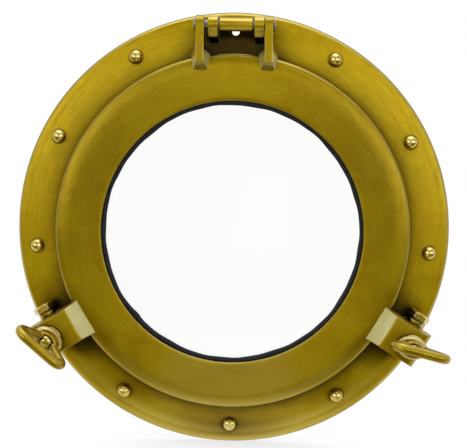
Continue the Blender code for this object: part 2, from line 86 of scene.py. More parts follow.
def dog_axis(side, name):
    """(angle in degrees, radius, depth) of a dog's joint about the porthole's axis."""
    at = Vector(joint(f"{side}_{name}")["pos_m"]) / MM - CENTRE
    return atan2(at.z, at.x) * 180 / pi, Vector((at.x, at.z)).length, -at.y


PIVOTS = {side: dog_axis(side, "dog_swing") for side in SIDES}
NUTS = {side: dog_axis(side, "nut_spin") for side in SIDES}
WASHER_BACK = -corners("left_washer")[1].y
NUT_BASE = -corners("left_eye_nut")[1].y
BOLT_TOP = -corners("left_swing_bolt")[0].y


# ---------------------------------------------------------------- frames of reference


def axes(origin, x_axis, y_axis, z_axis):
    columns = Matrix((x_axis, y_axis, z_axis)).transposed().to_4x4()
    return Matrix.Translation(origin) @ columns


def disc(angle=0.0, r=0.0, depth=0.0):
    """Local x outward at an angle in the front view, z toward the viewer."""
    a = radians(angle)
    out, front = Vector((cos(a), 0, sin(a))), Vector((0, -1, 0))
    return axes(CENTRE + out * r + front * depth, out, front.cross(out), front)


def side_view(x=0.0):
    """Local x up, y toward the viewer, z along +X."""
    return axes(CENTRE + Vector((x, 0, 0)), (0, 0, 1), (0, -1, 0), (1, 0, 0))


def dog_view(angle):
    """Local x outward, y toward the viewer, z along the dog's pivot."""
    a = radians(angle)
    return axes(CENTRE, (cos(a), 0, sin(a)), (0, -1, 0), (-sin(a), 0, cos(a)))


def shift(x, y, z=0.0):
    return Matrix.Translation((x, y, z))


# ---------------------------------------------------------------- mesh tools


def new_object(name, bm, place=Matrix.Identity(4)):
    bm.transform(Matrix.Scale(MM, 4) @ place)
    bmesh.ops.recalc_face_normals(bm, faces=bm.faces)
    mesh = bpy.data.meshes.new(name)
    bm.to_mesh(mesh)
    bm.free()
    obj = bpy.data.objects.new(name, mesh)
    bpy.context.collection.objects.link(obj)
    return obj


def arc(centre, r, start, end, steps):
    angles = [radians(start + (end - start) * i / steps) for i in range(steps + 1)]
    return [(centre[0] + r * cos(a), centre[1] + r * sin(a)) for a in angles]


def rounded(points, radius, steps=4):
    """A closed outline with every corner rounded; radius may be one number or one per corner."""
    out = []
    count = len(points)
    for i, here in enumerate(points):
        r = radius[i] if isinstance(radius, (list, tuple)) else radius
        p, a, b = Vector(here), Vector(points[i - 1]), Vector(points[(i + 1) % count])
        to_a, to_b = a - p, b - p
        turn = pi - to_a.angle(to_b)
        if r <= 0 or turn < 0.02:
            out.append(here)
            continue
        cut = min(r * abs(sin(turn / 2) / cos(turn / 2)), 0.48 * to_a.length, 0.48 * to_b.length)
        start, end = p + to_a.normalized() * cut, p + to_b.normalized() * cut
        for k in range(steps + 1):
            t = k / steps
            at = start * (1 - t) ** 2 + p * 2 * t * (1 - t) + end * t ** 2
            out.append((at.x, at.y))
    return out


def turned(name, profile, segments, place=Matrix.Identity(4), squeeze=1.0, wobble=None):
    """A closed profile of (r, z) points spun about local z. wobble(angle, r, z) adds to the radius."""
    bm = bmesh.new()
    rows = []
    for r, z in profile:
        if r == 0:
            rows.append([bm.verts.new((0, 0, z))] * segments)
            continue
        row = []
        for i in range(segments):
            t = 2 * pi * (i + 0.5) / segments
            here = r + (wobble(t, r, z) if wobble else 0)
            row.append(bm.verts.new((here * cos(t), squeeze * here * sin(t), z)))
        rows.append(row)
    for row, following in zip(rows, rows[1:] + rows[:1]):
        for i in range(segments):
            j = (i + 1) % segments
            face = list(dict.fromkeys((row[i], row[j], following[j], following[i])))
            if len(face) > 2:
                bm.faces.new(face)
    return new_object(name, bm, place)


def prism(name, outline, low, high, place=Matrix.Identity(4), bevel=0.0, segments=3, draft=None):
    """An outline extruded along local z, with rounded end edges. draft(x, y) widens it at a point."""
    bm = bmesh.new()
    rings = []
    for z in (low, high):
        sign = 1 if z == high else -1
        rings.append([bm.verts.new((x, y, z + sign * (draft(x, y) if draft else 0))) for x, y in outline])
    ends = [bm.faces.new(ring) for ring in rings]
    for i in range(len(outline)):
        j = (i + 1) % len(outline)
        bm.faces.new((rings[0][i], rings[0][j], rings[1][j], rings[1][i]))
    if bevel:
        rim = [edge for face in ends for edge in face.edges]
        bmesh.ops.bevel(bm, geom=rim, offset=bevel, segments=segments, affect="EDGES", profile=0.5)
    return new_object(name, bm, place)


def hull(name, points, place=Matrix.Identity(4)):
    bm = bmesh.new()
    made = bmesh.ops.convex_hull(bm, input=[bm.verts.new(p) for p in points])
    unused = [v for v in made["geom_interior"] if isinstance(v, bmesh.types.BMVert)]
    bmesh.ops.delete(bm, geom=unused, context="VERTS")
    return new_object(name, bm, place)


def rod(name, r, low, high, segments, place=Matrix.Identity(4)):
    return turned(name, [(0, low), (r, low), (r, high), (0, high)], segments, place)


def bent_bar(name, path, minor, place, sides=20):
    """A round bar along a closed path of (x, z) points in the local plane y = 0."""
    bm = bmesh.new()
    rows = []
    for i, here in enumerate(path):
        along = (Vector(path[(i + 1) % len(path)]) - Vector(path[i - 1])).normalized()
        out = Vector((along.y, -along.x))
        row = []
        for k in range(sides):
            b = 2 * pi * k / sides
            at = Vector(here) + out * minor * cos(b)
            row.append(bm.verts.new((at.x, minor * sin(b), at.y)))
        rows.append(row)
    for i, row in enumerate(rows):
        following = rows[(i + 1) % len(rows)]
        for k in range(sides):
            m = (k + 1) % sides
            bm.faces.new((row[k], row[m], following[m], following[k]))
    return new_object(name, bm, place)


def applied(obj):
    """The object with its modifiers applied."""
    evaluated = obj.evaluated_get(bpy.context.evaluated_depsgraph_get())
    mesh = bpy.data.meshes.new_from_object(evaluated)
    obj.modifiers.clear()
    obj.data = mesh
    return obj


def combine(base, tools, operation):
    for tool in tools:
        step = base.modifiers.new(operation, "BOOLEAN")
        step.operation = operation
        step.solver = "EXACT"
        step.object = tool
        applied(base)
        bpy.data.objects.remove(tool, do_unlink=True)
    return base


def softened(obj, voxel, repeats, factor=0.5):
    """Melts a piece's edges and junctions into the fillets of a casting."""
    step = obj.modifiers.new("remesh", "REMESH")
    step.mode = "VOXEL"
    step.voxel_size = voxel * MM
    step.adaptivity = 0.0
    step = obj.modifiers.new("smooth", "SMOOTH")
    step.factor = factor
    step.iterations = repeats
    return applied(obj)


def shaded(obj, look, angle=40.0):
    obj.data.materials.clear()
    obj.data.materials.append(look)
    obj.data.shade_smooth()
    obj.data.set_sharp_from_angle(angle=radians(angle))
    return obj


def piece(obj, look, body, nodes=(), angle=40.0):
    """Gives a new mesh its look, its body and the frame nodes it stands for."""
    shaded(obj, look, angle)
    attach(obj, body)
    if nodes:
        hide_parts(*nodes)
    return obj


# ---------------------------------------------------------------- materials


class Nodes:
    """A node tree, built up node by node."""

    def __init__(self, tree):
        self.tree = tree

    def node(self, kind, props=None, **inputs):
        made = self.tree.nodes.new(kind)
        for key, value in (props or {}).items():
            setattr(made, key, value)
        for key, value in inputs.items():
            self.link(made.inputs[key.replace("_", " ")], value)
        return made

    def link(self, socket, value):
        if isinstance(value, bpy.types.NodeSocket):
            self.tree.links.new(value, socket)
        else:
            socket.default_value = value

    def math(self, operation, a, b=0.0, clamp=False):
        made = self.node("ShaderNodeMath", {"operation": operation, "use_clamp": clamp})
        for socket, value in zip(made.inputs, (a, b)):
            self.link(socket, value)
        return made.outputs[0]

    def add(self, first, *others):
        for other in others:
            first = self.math("ADD", first, other)
        return first

    def times(self, first, *others):
        for other in others:
            first = self.math("MULTIPLY", first, other)
        return first

    def most(self, a, b):
        return self.math("MAXIMUM", a, b)

    def absolute(self, value):
        return self.math("ABSOLUTE", value)

    def vector(self, operation, a, b=(0, 0, 0), scale=1.0):
        made = self.node("ShaderNodeVectorMath", {"operation": operation})
        self.link(made.inputs[0], a)
        if operation == "SCALE":
            self.link(made.inputs["Scale"], scale)
        else:
            self.link(made.inputs[1], b)
        return made.outputs["Value"] if operation == "DOT_PRODUCT" else made.outputs[0]

    def spread(self, value, low, high, to_low=0.0, to_high=1.0):
        """A smooth step, from to_low where the value is low to to_high where it is high."""
        made = self.node("ShaderNodeMapRange", {"clamp": True, "interpolation_type": "SMOOTHSTEP"})
        for socket, given in zip(made.inputs, (value, low, high, to_low, to_high)):
            self.link(socket, given)
        return made.outputs[0]

    def mix(self, factor, a, b, blend="MIX"):
        made = self.node("ShaderNodeMix", {"data_type": "RGBA", "blend_type": blend})
        self.link(made.inputs["Factor"], factor)
        for socket, value in ((made.inputs[6], a), (made.inputs[7], b)):
            self.link(socket, (*value, 1.0) if isinstance(value, tuple) and len(value) == 3 else value)
        return made.outputs[2]


class Look(Nodes):
    """A procedural material that knows its place, in millimetres from the middle of the flange's back."""

    def __init__(self, name):
        self.material = bpy.data.materials.new(name)
        self.material.use_nodes = True
        super().__init__(self.material.node_tree)
        self.shader = self.tree.nodes["Principled BSDF"]
        at = self.node("ShaderNodeTexCoord").outputs["Object"]
        self.at = self.vector("SCALE", self.vector("SUBTRACT", at, CENTRE * MM), scale=1 / MM)
        self.x, self.y, self.z = self.parts(self.at)

    def set(self, **inputs):
        for key, value in inputs.items():
            self.link(self.shader.inputs[key.replace("_", " ")], value)

    def parts(self, vector):
        made = self.node("ShaderNodeSeparateXYZ", Vector=vector)
        return made.outputs[0], made.outputs[1], made.outputs[2]

    def join(self, x, y, z):
        return self.node("ShaderNodeCombineXYZ", X=x, Y=y, Z=z).outputs[0]

    def noise(self, at, scale, detail=3.0, roughness=0.55, distortion=0.0):
        made = self.node("ShaderNodeTexNoise", Vector=at, Scale=scale, Detail=detail, Roughness=roughness,
                         Distortion=distortion)
        return made.outputs["Fac"]

    def openness(self, reach):
        """1 in the open, and less in hollows narrower than the reach."""
        return self.node("ShaderNodeAmbientOcclusion", {"samples": 8}, Distance=reach * MM).outputs["AO"]

    def relief(self, height, strength, distance, **inputs):
        """The normal of a surface with this fine relief."""
        return self.node("ShaderNodeBump", Strength=strength, Distance=distance * MM, Height=height,
                         **inputs).outputs[0]

    def corners_and_edges(self, radius):
        """(normal rounded over edges, mask of exposed edges)."""
        rounded_normal = self.node("ShaderNodeBevel", {"samples": 6}, Radius=radius * MM).outputs[0]
        true_normal = self.node("ShaderNodeNewGeometry").outputs["Normal"]
        same = self.vector("DOT_PRODUCT", rounded_normal, true_normal)
        return rounded_normal, self.spread(same, 0.995, 0.80)


# Linear colours
BRASS = (0.57, 0.385, 0.004)
BRASS_WARM = (0.52, 0.33, 0.002)
BRASS_PALE = (0.66, 0.50, 0.010)
# Pale brass for rubbing, and for painted reflections and painted edge highlights
BRASS_WORN_SHEEN = (0.67, 0.54, 0.110)
# Pale cream: a painted sheen of the bright room on the facets, which are also rougher
BRASS_FACET_SHEEN = (0.88, 0.82, 0.33)
BRASS_DARK = (0.22, 0.135, 0.002)
BRASS_DULL = (0.16, 0.10, 0.012)
BRASS_BRIGHT = (0.78, 0.62, 0.17)
STEEL_DULL = (0.36, 0.33, 0.25)
# Near black: tarnishing and painted shade in hollows, plus painted shade low down and behind the hinge
PATINA_AND_SHADE = (0.035, 0.020, 0.001)
RUBBER = (0.0045, 0.0042, 0.006)
RUBBER_BLOOM = (0.012, 0.011, 0.012)
DUST = (0.08, 0.075, 0.06)
GLASS = (0.99, 0.995, 0.993, 1.0)

# Millimetres: how wide a hollow can be and still be darkened, partly as tarnishing and partly as painted
# shade, and how round the edges shine, with a painted edge highlight
BRASS_HOLLOW = 26.0
BRASS_EDGE = 0.7
POLISHED_HOLLOW = 4.0
POLISHED_EDGE = 0.35


class Brass(Look):
    """Lightly lacquered cast brass, brushed round the porthole's axis or left as cast.

    Its hollows are darkened, partly as tarnishing and partly as painted shade, and painted shade lies low
    down and behind the hinge. facets gives the mask of its file-finished facets, which carry a painted pale
    sheen.
    """

    def __init__(self, name, brushed, wear, shade_and_rough_back, facets):
        super().__init__(name)
        self.brushed, self.wear, self.shade_and_rough_back = brushed, wear, shade_and_rough_back
        self.depth = 1.0 if brushed else 0.4
        self.radius = self.math("SQRT", self.add(self.times(self.x, self.x), self.times(self.z, self.z)))
        self.turn_x = self.math("DIVIDE", self.x, self.radius)
        self.turn_z = self.math("DIVIDE", self.z, self.radius)
        strokes_at, cross_at = self.brushing()
        self.strokes = self.noise(strokes_at, 1.0, 4.0, 0.65)
        self.cross = self.noise(cross_at, 1.0, 3.0, 0.6)
        self.patches = self.noise(self.at, 0.035, 3.0, 0.55, 0.6)
        self.clouds = self.noise(self.at, 0.11, 4.0, 0.6, 0.3)
        self.grain = self.noise(self.at, 2.6, 2.0, 0.6)
        self.normal, self.edges = self.corners_and_edges(BRASS_EDGE)
        self.open = self.openness(BRASS_HOLLOW)
        self.facing = self.parts(self.normal)
        self.back = self.spread(self.y, -5.6, -4.2) if shade_and_rough_back else None
        self.filed_sheen = None
        if facets:
            self.filed_sheen = self.times(facets(self), self.spread(self.strokes, 0.3, 0.7, 0.72, 1.0))

    def brushing(self):
        """Where the noise of the brush's strokes, and of the scratches across them, is looked up."""
        if not self.brushed:
            return (self.vector("MULTIPLY", self.at, (0.9, 0.9, 0.25)),
                    self.vector("MULTIPLY", self.at, (0.3, 1.2, 1.2)))
        across = self.add(self.radius, self.y)
        return [self.join(self.times(across, outward), self.times(self.turn_x, around),
                          self.times(self.turn_z, around))
                for outward, around in ((2.2, 9.0), (0.07, 190.0))]

    def clean(self):
        """The colour of the brushed metal, before its pale rubbing and painted sheen, and its tarnishing
        and painted shade.
        """
        specks = self.noise(self.at, 0.9, 2.0, 0.5)
        colour = self.mix(self.spread(self.patches, 0.35, 0.65), BRASS_WARM, BRASS)
        colour = self.mix(self.spread(self.clouds, 0.5, 0.8, 0.0, 0.45), colour, BRASS_PALE)
        colour = self.mix(self.spread(self.strokes, 0.35, 0.7, 0.35 * self.depth, 0.0), colour, BRASS_DARK)
        colour = self.mix(self.spread(self.cross, 0.58, 0.75, 0.0, 0.22 * self.depth), colour, BRASS_PALE)
        return self.mix(self.spread(specks, 0.70, 0.78, 0.0, 0.5), colour, BRASS_DARK)

    def worn_and_sheen(self):
        """The curves, paler partly from rubbing and partly as a painted reflection, and, low down, the
        slopes, paler as a painted reflection of the bright floor.
        """
        frontal = self.absolute(self.facing[1])
        rub_and_sheen = self.spread(self.clouds, 0.2, 0.6, 0.30 * self.wear, 0.60 * self.wear)
        worn_and_sheen = self.times(self.spread(frontal, 0.985, 0.80), rub_and_sheen)
        if self.brushed:
            # Painted reflection of the bright floor on the downward slopes and the lowest part of the round
            sloped = self.spread(frontal, 0.9985, 0.983, 0.0, 0.65)
            worn_and_sheen = self.most(worn_and_sheen, self.times(sloped, self.spread(self.turn_z, -0.55, -0.92)))
            worn_and_sheen = self.most(worn_and_sheen, self.spread(self.turn_z, -0.85, -0.97, 0.0, 0.2))
        return worn_and_sheen

    def tarnish_and_shade(self):
        # Painted shade: hollows darkened by ambient occlusion, partly tarnishing and partly the shade that
        # falls there
        tarnish_and_shade = self.spread(self.open, 0.86, 0.32, 0.0, 0.96)
        if self.brushed:
            tarnish_and_shade = self.times(tarnish_and_shade, self.spread(self.radius, 151.0, 146.0))
        return tarnish_and_shade

    def painted_shade(self):
        """Painted shade on the lower half, and a painted shadow in the recess behind the hinge."""
        # Painted shade: darker towards the bottom, in the hollows next to the door and lugs, inside the rim
        low = self.times(self.spread(self.z, -15.0, -80.0), self.spread(self.open, 0.95, 0.55),
                         self.spread(self.radius, 146.0, 138.0))
        # Painted shadow in the recess between the hinge lugs, under the barrel
        behind = self.times(self.spread(self.absolute(self.x), 23.0, 18.0),
                            self.spread(self.z, 100.0, 120.0), self.spread(self.z, 148.0, 145.0),
                            self.spread(self.y, -17.0, -12.0), self.spread(self.y, -5.0, -6.5),
                            self.spread(self.clouds, 0.3, 0.6, 0.82, 0.94))
        return self.most(self.times(low, self.shade_and_rough_back), behind)

    def colour(self, tone):
        # Pale curves, partly rubbing and partly painted reflection, and a painted floor reflection low down
        colour = self.mix(self.worn_and_sheen(), self.clean(), BRASS_WORN_SHEEN)
        # Painted shade in the hollows, partly tarnishing
        colour = self.mix(self.tarnish_and_shade(), colour, PATINA_AND_SHADE)
        if self.back is not None:
            # Painted shade low down and a painted shadow behind the hinge
            colour = self.mix(self.painted_shade(), colour, PATINA_AND_SHADE)
            as_cast = self.times(self.back, self.spread(self.clouds, 0.3, 0.7, 0.4, 0.7))
            colour = self.mix(as_cast, colour, BRASS_DULL)
        if self.filed_sheen is not None:
            # Facets: a rougher file finish, with a painted pale sheen in their colour
            colour = self.mix(self.filed_sheen, colour, BRASS_FACET_SHEEN)
        # Painted edge highlight: the exposed edges made pale, partly as edge rubbing
        colour = self.mix(self.times(self.edges, 0.85), colour, BRASS_WORN_SHEEN)
        return self.mix(1.0, colour, (tone, tone, tone), "MULTIPLY")

    def roughness(self, base):
        rough = self.add(base, self.spread(self.patches, 0.3, 0.7, -0.05, 0.06),
                         self.spread(self.strokes, 0.3, 0.7, 0.05, -0.05),
                         self.spread(self.grain, 0.3, 0.7, -0.03, 0.04))
        if self.back is not None:
            rough = self.add(rough, self.times(self.back, 0.16))
        if self.filed_sheen is not None:
            rough = self.add(rough, self.times(self.filed_sheen, 0.22))
        return self.math("SUBTRACT", rough, self.times(self.edges, 0.10), clamp=True)

    def height(self):
        height = self.add(self.times(self.strokes, 0.55), self.times(self.cross, 0.18),
                          self.times(self.grain, 0.25), self.times(self.clouds, 0.9))
        if self.back is not None:
            pits = self.noise(self.at, 0.7, 5.0, 0.7)
            height = self.add(height, self.times(self.back, self.times(pits, 12.0)))
        return height


def brass(name, brushed=False, roughness=0.36, coat=0.12, tone=1.0, wear=1.0, shade_and_rough_back=0.0, facets=None):
    look = Brass(name, brushed, wear, shade_and_rough_back, facets)
    look.set(Base_Color=look.colour(tone), Metallic=1.0, Roughness=look.roughness(roughness),
             Normal=look.relief(look.height(), 0.55 * look.depth, 0.03, Normal=look.normal),
             Coat_Weight=coat, Coat_Roughness=0.28, Coat_IOR=1.5, Coat_Normal=look.normal)
    if brushed:
        tangent = look.join(look.times(look.turn_z, -1.0), 0.0, look.turn_x)
        look.set(Anisotropic=0.55, Tangent=tangent)
    return look.material


def door_facets(look):
    """The door's facets, finished with a file and given a painted pale sheen: the inner slopes of the dog
    lugs and the feet of the hinge arms.
    """
    sideways, frontal, upward = look.facing
    outward = look.add(look.times(sideways, look.turn_x), look.times(upward, look.turn_z))
    slope = look.times(look.spread(outward, -0.3, -0.5), look.spread(look.radius, 117.0, 118.5))
    aside = look.absolute(look.x)
    foot = look.times(look.spread(look.absolute(sideways), 0.15, 0.35),
                      look.spread(look.absolute(frontal), 0.12, 0.30),
                      look.spread(aside, 15.0, 16.0), look.spread(aside, 33.0, 32.0),
                      look.spread(look.z, 109.0, 111.0), look.spread(look.z, 131.0, 127.0))
    return look.most(slope, foot)


def nut_collar(look):
    """The collar of a nut, given the facets' rough finish and painted pale sheen at three quarters
    strength.
    """
    return look.times(look.spread(look.y, -NUT_BASE - 6.5, -NUT_BASE - 3.0), 0.75)


def polished(name, colour, roughness=0.14, coat=0.2):
    """Machined, hand-polished metal with fine scratches, its corners darkened partly as tarnishing and
    partly as painted shade, and a painted highlight on its edges.
    """
    look = Look(name)
    scratches = look.noise(look.vector("MULTIPLY", look.at, (3.0, 0.6, 3.0)), 1.0, 3.0, 0.6)
    clouds = look.noise(look.at, 0.35, 3.0, 0.6)
    grain = look.noise(look.at, 4.0, 2.0, 0.5)
    normal, edges = look.corners_and_edges(POLISHED_EDGE)
    dull = tuple(0.82 * c for c in colour)
    dark = tuple(0.35 * c for c in colour)
    pale = tuple(min(1.0, 1.25 * c + 0.05) for c in colour)
    tint = look.mix(look.spread(clouds, 0.35, 0.7), colour, dull)
    tint = look.mix(look.spread(scratches, 0.6, 0.8, 0.0, 0.4), tint, dark)
    # Painted shade in the corners, partly tarnishing
    tint = look.mix(look.spread(look.openness(POLISHED_HOLLOW), 0.6, 0.1, 0.0, 0.85), tint, PATINA_AND_SHADE)
    # Painted edge highlight
    tint = look.mix(look.times(edges, 0.5), tint, pale)
    rough = look.add(roughness, look.spread(scratches, 0.4, 0.7, 0.0, 0.10),
                     look.spread(clouds, 0.3, 0.7, -0.03, 0.05))
    height = look.add(look.times(scratches, 0.6), look.times(grain, 0.4))
    look.set(Base_Color=tint, Metallic=1.0, Roughness=rough, Coat_Weight=coat, Coat_Roughness=0.2,
             Normal=look.relief(height, 0.4, 0.02, Normal=normal))
    return look.material


def rubber(name):
    look = Look(name)
    grain = look.noise(look.at, 1.8, 4.0, 0.65)
    bloom = look.noise(look.at, 0.09, 3.0, 0.55)
    specks = look.noise(look.at, 6.0, 2.0, 0.5)
    colour = look.mix(look.spread(bloom, 0.4, 0.75), RUBBER, RUBBER_BLOOM)
    colour = look.mix(look.spread(specks, 0.72, 0.8, 0.0, 0.35), colour, DUST)
    look.set(Base_Color=colour, Roughness=look.spread(grain, 0.3, 0.7, 0.42, 0.62),
             Normal=look.relief(grain, 0.5, 0.06), Specular_IOR_Level=0.35)
    return look.material


def window_glass(name):
    look = Look(name)
    smudges = look.noise(look.vector("MULTIPLY", look.at, (0.05, 0.2, 0.03)), 1.0, 4.0, 0.6, 0.5)
    wave = look.noise(look.at, 0.02, 1.0, 0.5)
    look.set(Base_Color=GLASS, Roughness=look.spread(smudges, 0.45, 0.75, 0.0, 0.05),
             Transmission_Weight=1.0, IOR=1.5, Normal=look.relief(wave, 0.15, 0.05), Specular_IOR_Level=0.5)
    return look.material


# ---------------------------------------------------------------- flange ring

FLANGE_FRONT = 7.8
RIVET_R = 139.0
RIVET_HOLE_R = 2.75
EMPTY_HOLE = 90.0
EAR_U = (5.6, 12.8)
EAR_END_R = 6.6
LUG_X = (-15.0, 16.6)
LUG_HALF = 3.3
LUG_END_R = 5.8
PIN_HOLE_R = 3.3
PIVOT_HOLE_R = 3.2


def flange_profile():
    ceiling = FLANGE_FRONT - 4.2
    rim = arc((RING_R - 4.0, 2.4), 4.0, 0, 68, 9)
    front = [(147.0, 6.3), (144.5, 6.75), (142.0, 7.15), (139.0, 7.55), (136.0, 7.87), (133.0, 8.12),
             (130.0, 8.28), (127.0, 8.37)]
    seat = [(118.0, 8.4), (113.5, 7.4)] + arc((111.5, 7.6), 1.0, 20, 160, 6) + [(109.5, 7.4)]
    back = [(100.4, 7.0), (99.7, 6.8), (99.5, 6.2), (99.5, 0.4), (99.9, 0), (103.6, 0), (104.0, 0.4)]
    hollow = [(104.4, ceiling), (RING_R - 5.4, ceiling), (RING_R - 5.0, 0.4), (RING_R - 4.6, 0)]
    return rim + front + seat + back + hollow + [(RING_R - 0.5, 0), (RING_R, 0.5)]


def ring_lug():
    end = arc((PIN_Z, PIN_DEPTH), LUG_END_R, -10, 150, 18)
    return end + [(134.3, 27.4), (133.2, 12.0), (129.0, 5.5), (149.5, 5.0)]


def ear():
    _, pivot_r, pivot_depth = PIVOTS["left"]
    top = arc((pivot_r, pivot_depth), EAR_END_R, 0, 180, 20)
    return top + [(pivot_r - EAR_END_R - 0.6, 5.0), (pivot_r + EAR_END_R, 5.0)]


def hole(place, r, low, high, segments=28):
    return rod("hole", r, low, high, segments, place)


def pivot_place(side):
    angle, r, depth = PIVOTS[side]
    return dog_view(angle) @ shift(r, depth)


def flange(look):
    ring = turned("flange_ring", flange_profile(), 192, disc())
    added = []
    for x in LUG_X:
        added.append(prism("lug", ring_lug(), x - LUG_HALF, x + LUG_HALF, side_view(), bevel=0.7))
    for side in SIDES:
        for sign in (-1, 1):
            low, high = sorted(sign * u for u in EAR_U)
            added.append(prism("ear", ear(), low, high, dog_view(PIVOTS[side][0]), bevel=0.7))
    combine(ring, added, "UNION")
    cuts = [hole(side_view() @ shift(PIN_Z, PIN_DEPTH), PIN_HOLE_R, -25, 25)]
    cuts += [hole(pivot_place(side), PIVOT_HOLE_R, -20, 20) for side in SIDES]
    for angle in rivet_angles() + [EMPTY_HOLE]:
        cuts.append(hole(disc(angle, RIVET_R), RIVET_HOLE_R, -2, 12))
    combine(ring, cuts, "DIFFERENCE")
    return piece(ring, look, "ring", ["mounting_ring"], 32)


# ---------------------------------------------------------------- rivets


def rivet_nodes():
    return sorted(n for n in frame["nodes"] if n.startswith("rivet_"))


def rivet_angles():
    found = [middle(n) - CENTRE for n in rivet_nodes()]
    return [atan2(at.z, at.x) * 180 / pi for at in found]


def rivets(look):
    seat = FLANGE_FRONT + 0.15
    top = -corners("rivet_01")[0].y
    half = (corners("rivet_01")[1].x - corners("rivet_01")[0].x) / 2
    height = top - seat
    radius = (half ** 2 + height ** 2) / (2 * height)
    centre = top - radius
    low = acos(half / radius) * 180 / pi if half < radius else 0.0
    dome = arc((0, centre), radius, 88, max(low, 2.0), 14)
    shank = [(half + 0.05, seat + 0.25), (half - 0.15, seat), (2.45, seat), (2.45, 3.3), (3.6, 3.3),
             (3.3, 1.5), (2.4, 1.0), (0, 0.9)]
    for i, (node, angle) in enumerate(zip(rivet_nodes(), rivet_angles())):
        def beaten(t, r, _, k=i):
            return 0.05 * sin(3 * t + 2.1 * k) * (r / half) + 0.03 * sin(5 * t - k)
        head = turned(f"rivet_head_{i + 1}", [(0, top)] + dome + shank, 40, disc(angle, RIVET_R),
                      wobble=beaten)
        piece(head, look, "ring", [node])


# ---------------------------------------------------------------- door

DOOR_FACE = 25.0
DOOR_BACK = 10.0
WINDOW_R = 91.0
ARM_X = (-23.8, 23.3)
ARM_HALF = 2.75
ARM_END_R = 6.3
LUG_FRONT = 32.3
LUG_BACK = 24.2
LUG_TIP_R = 155.0
LUG_TIP_ROUND = 6.0
LUG_WIDTH = 12.0
SLOT_HALF = 4.9
SCREW_R = 101.8

# (radius, depth behind the door's highest plane)
DOOR_CROWN = ((94.5, 0.02), (101.0, 0.0), (108.0, 0.01), (112.0, 0.05), (114.4, 0.13), (116.6, 0.34),
              (118.6, 0.68), (120.2, 1.14), (121.4, 1.62), (122.3, 2.15), (122.9, 2.8), (123.25, 3.5))


def door_profile():
    crown = [(r, DOOR_FACE - drop) for r, drop in DOOR_CROWN] + [(DOOR_R, DOOR_FACE - 4.5)]
    wall = [(DOOR_R, DOOR_BACK + 1.0), (DOOR_R - 0.3, DOOR_BACK + 0.3), (DOOR_R - 0.9, DOOR_BACK)]
    groove = [(115.3, DOOR_BACK), (115.3, 14.0), (107.7, 14.0), (107.7, DOOR_BACK)]
    pocket = [(105.6, DOOR_BACK), (105.6, 13.8), (98.0, 13.8), (98.0, 22.2)]
    lip = [(WINDOW_R, 22.2), (WINDOW_R, DOOR_FACE - 1.1), (WINDOW_R + 0.12, DOOR_FACE - 0.6),
           (WINDOW_R + 0.45, DOOR_FACE - 0.22), (WINDOW_R + 1.1, DOOR_FACE - 0.06)]
    return crown + wall + groove + pocket + lip


def arm_outline():
    end = arc((PIN_Z, PIN_DEPTH), ARM_END_R, 90, -90, 22)
    root = [(125.0, PIN_DEPTH - ARM_END_R), (121.5, 15.5), (117.0, 14.5), (112.0, 21.0)]
    return end + root + [(111.4, DOOR_FACE - 0.35), (117.2, PIN_DEPTH + ARM_END_R)]


def arm_foot(x):
    inward = -1 if x > 0 else 1
    front = PIN_DEPTH + ARM_END_R - 0.15
    points = []
    for s, face_flare, edge_flare in ((-inward, 1.4, 3.9), (inward, 2.9, 4.6)):
        face, edge = x + s * (ARM_HALF + face_flare), x + s * (ARM_HALF + edge_flare)
        points += [(117.2, front, x + s * (ARM_HALF - 0.15)), (126.5, front, x + s * (ARM_HALF - 0.15))]
        points += [(111.6, 24.4, face), (113.0, 20.0, face), (122.3, 20.6, edge), (122.3, 13.0, edge)]
        points += [(129.0, 20.5, x + s * (ARM_HALF + 0.1))]
    return hull("foot", points, side_view())


def dog_lug(side):
    tip = arc((LUG_TIP_R - LUG_TIP_ROUND, LUG_FRONT - LUG_TIP_ROUND), LUG_TIP_ROUND, 90, 0, 12)
    front = [(118.0, DOOR_FACE - 0.7), (126.0, LUG_FRONT - 1.1), (127.3, LUG_FRONT - 0.35),
             (129.0, LUG_FRONT)] + tip
    back = [(LUG_TIP_R, LUG_BACK), (133.5, LUG_BACK), (122.0, 13.5), (116.0, 16.0),
            (116.0, DOOR_FACE - 1.6)]

    def draft(_, y):
        return 1.3 * min(1.0, max(0.0, (LUG_FRONT - y) / (LUG_FRONT - LUG_BACK)))
    return prism("dog_lug", front + back, -LUG_WIDTH, LUG_WIDTH, dog_view(PIVOTS[side][0]), 0.9, 3, draft)


def dog_slot(side):
    angle, r, _ = NUTS[side]
    outline = [(162.0, -SLOT_HALF), (162.0, SLOT_HALF)] + arc((r, 0), SLOT_HALF, 90, 270, 20)
    return prism("slot", outline, 20.0, 36.0, disc(angle))


def door(look):
    ring = turned("door_ring", door_profile(), 192, disc())
    added = []
    for x in ARM_X:
        arm = prism("arm", arm_outline(), x - ARM_HALF, x + ARM_HALF, side_view(), 0.6)
        added.append(combine(arm, [arm_foot(x)], "UNION"))
    added += [dog_lug(side) for side in SIDES]
    combine(ring, added, "UNION")
    cuts = [hole(side_view() @ shift(PIN_Z, PIN_DEPTH), PIN_HOLE_R, -32, 32)]
    cuts += [dog_slot(side) for side in SIDES]
    for i in range(6):
        cuts.append(hole(disc(60.0 * i, SCREW_R), 1.8, 11.0, 20.8, 16))
    combine(ring, cuts, "DIFFERENCE")
    return piece(ring, look, "door", ["door_frame"], 32)


